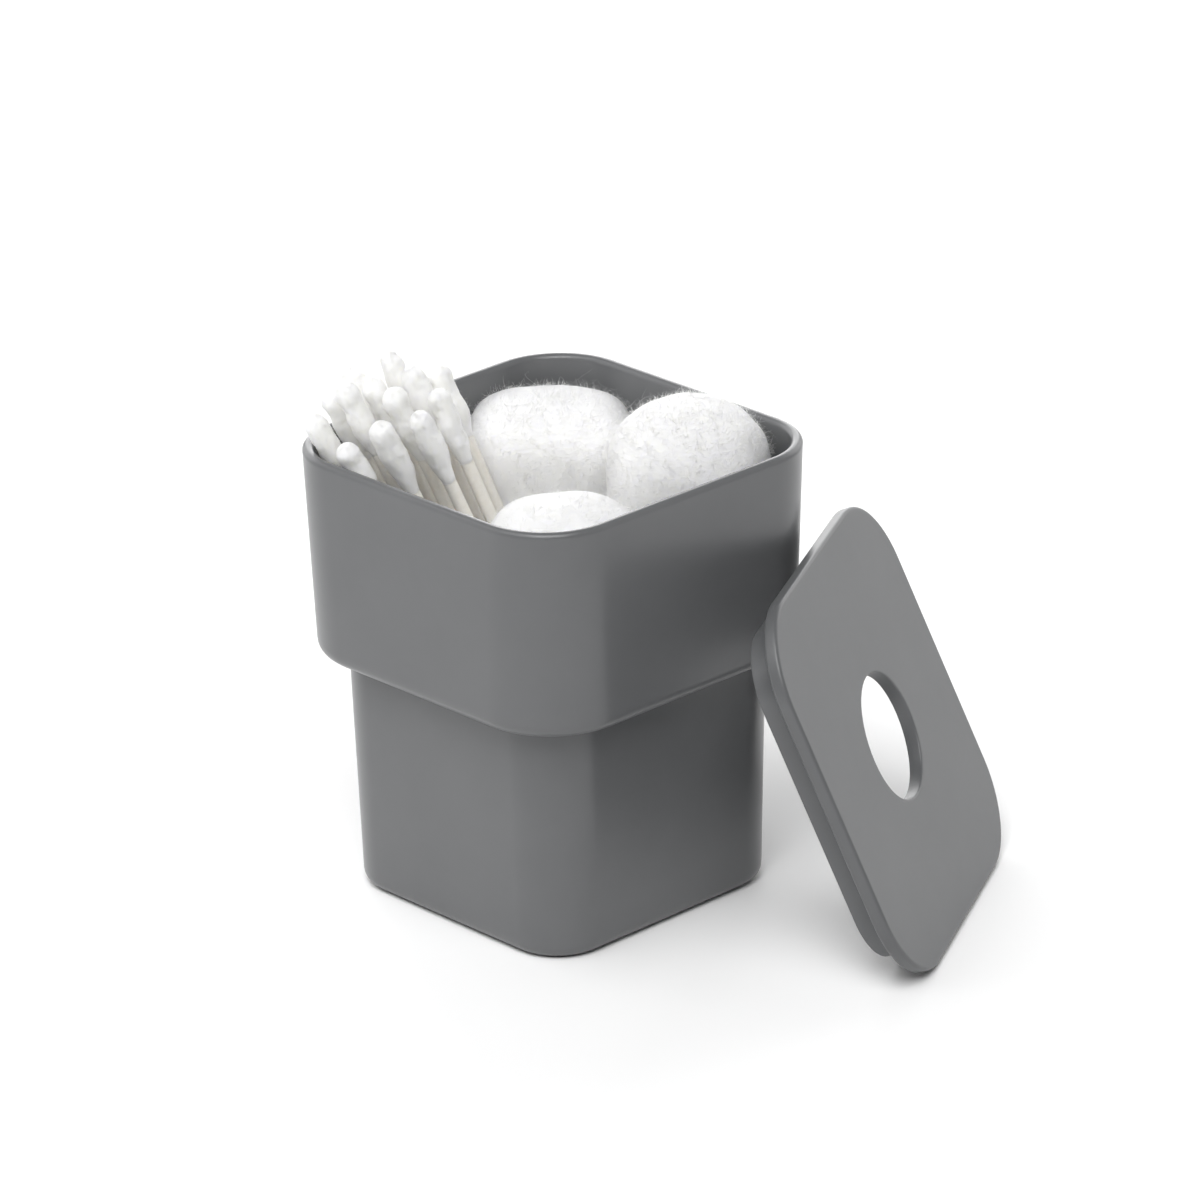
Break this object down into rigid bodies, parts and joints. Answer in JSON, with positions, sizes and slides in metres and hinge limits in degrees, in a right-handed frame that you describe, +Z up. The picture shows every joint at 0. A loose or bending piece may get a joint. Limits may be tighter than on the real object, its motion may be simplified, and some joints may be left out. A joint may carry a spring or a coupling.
{
  "type": "bathroom canister",
  "caption": "Two-tier rounded-square canister for cotton balls and swabs, with its lid with a finger hole taken off and leaning on it.",
  "frame": {"origin": "middle of the canister's base, on the surface it stands on", "axes": "+Z up; +X and +Y square to the canister's sides, with the lid leaning on the +X +Y corner and the swabs in the -X -Y corner"},
  "size_m": [0.1275, 0.113, 0.1086],
  "materials": {
    "tub_plastic": "satin",
    "lid_plastic": "satin",
    "ball_cotton": "fluffy cotton",
    "bud_cotton": "wound cotton",
    "stick_paper": "rolled paper"
  },
  "bodies": {
    "root": {"canister_body": "tub_plastic", "lid": "lid_plastic", "cotton_bed_1": "ball_cotton", "cotton_bed_2": "ball_cotton", "cotton_bed_3": "ball_cotton", "cotton_bed_4": "ball_cotton", "cotton_heart": "ball_cotton", "cotton_prop_back_left_1": "ball_cotton", "cotton_prop_back_left_2": "ball_cotton", "cotton_prop_back_right_1": "ball_cotton", "cotton_prop_back_right_2": "ball_cotton", "cotton_prop_front_1": "ball_cotton", "cotton_prop_front_2": "ball_cotton", "cotton_ball_back_left": "ball_cotton", "cotton_ball_back_right": "ball_cotton", "cotton_ball_front": "ball_cotton", "swab_1_stick": "stick_paper", "swab_2_stick": "stick_paper", "swab_3_stick": "stick_paper", "swab_4_stick": "stick_paper", "swab_5_stick": "stick_paper", "swab_6_stick": "stick_paper", "swab_7_stick": "stick_paper", "swab_8_stick": "stick_paper", "swab_9_stick": "stick_paper", "swab_10_stick": "stick_paper", "swab_11_stick": "stick_paper", "swab_12_stick": "stick_paper", "swab_13_stick": "stick_paper", "swab_1_buds": "bud_cotton", "swab_2_buds": "bud_cotton", "swab_3_buds": "bud_cotton", "swab_4_buds": "bud_cotton", "swab_5_buds": "bud_cotton", "swab_6_buds": "bud_cotton", "swab_7_buds": "bud_cotton", "swab_8_buds": "bud_cotton", "swab_9_buds": "bud_cotton", "swab_10_buds": "bud_cotton", "swab_11_buds": "bud_cotton", "swab_12_buds": "bud_cotton", "swab_13_buds": "bud_cotton"}
  },
  "joints": []
}
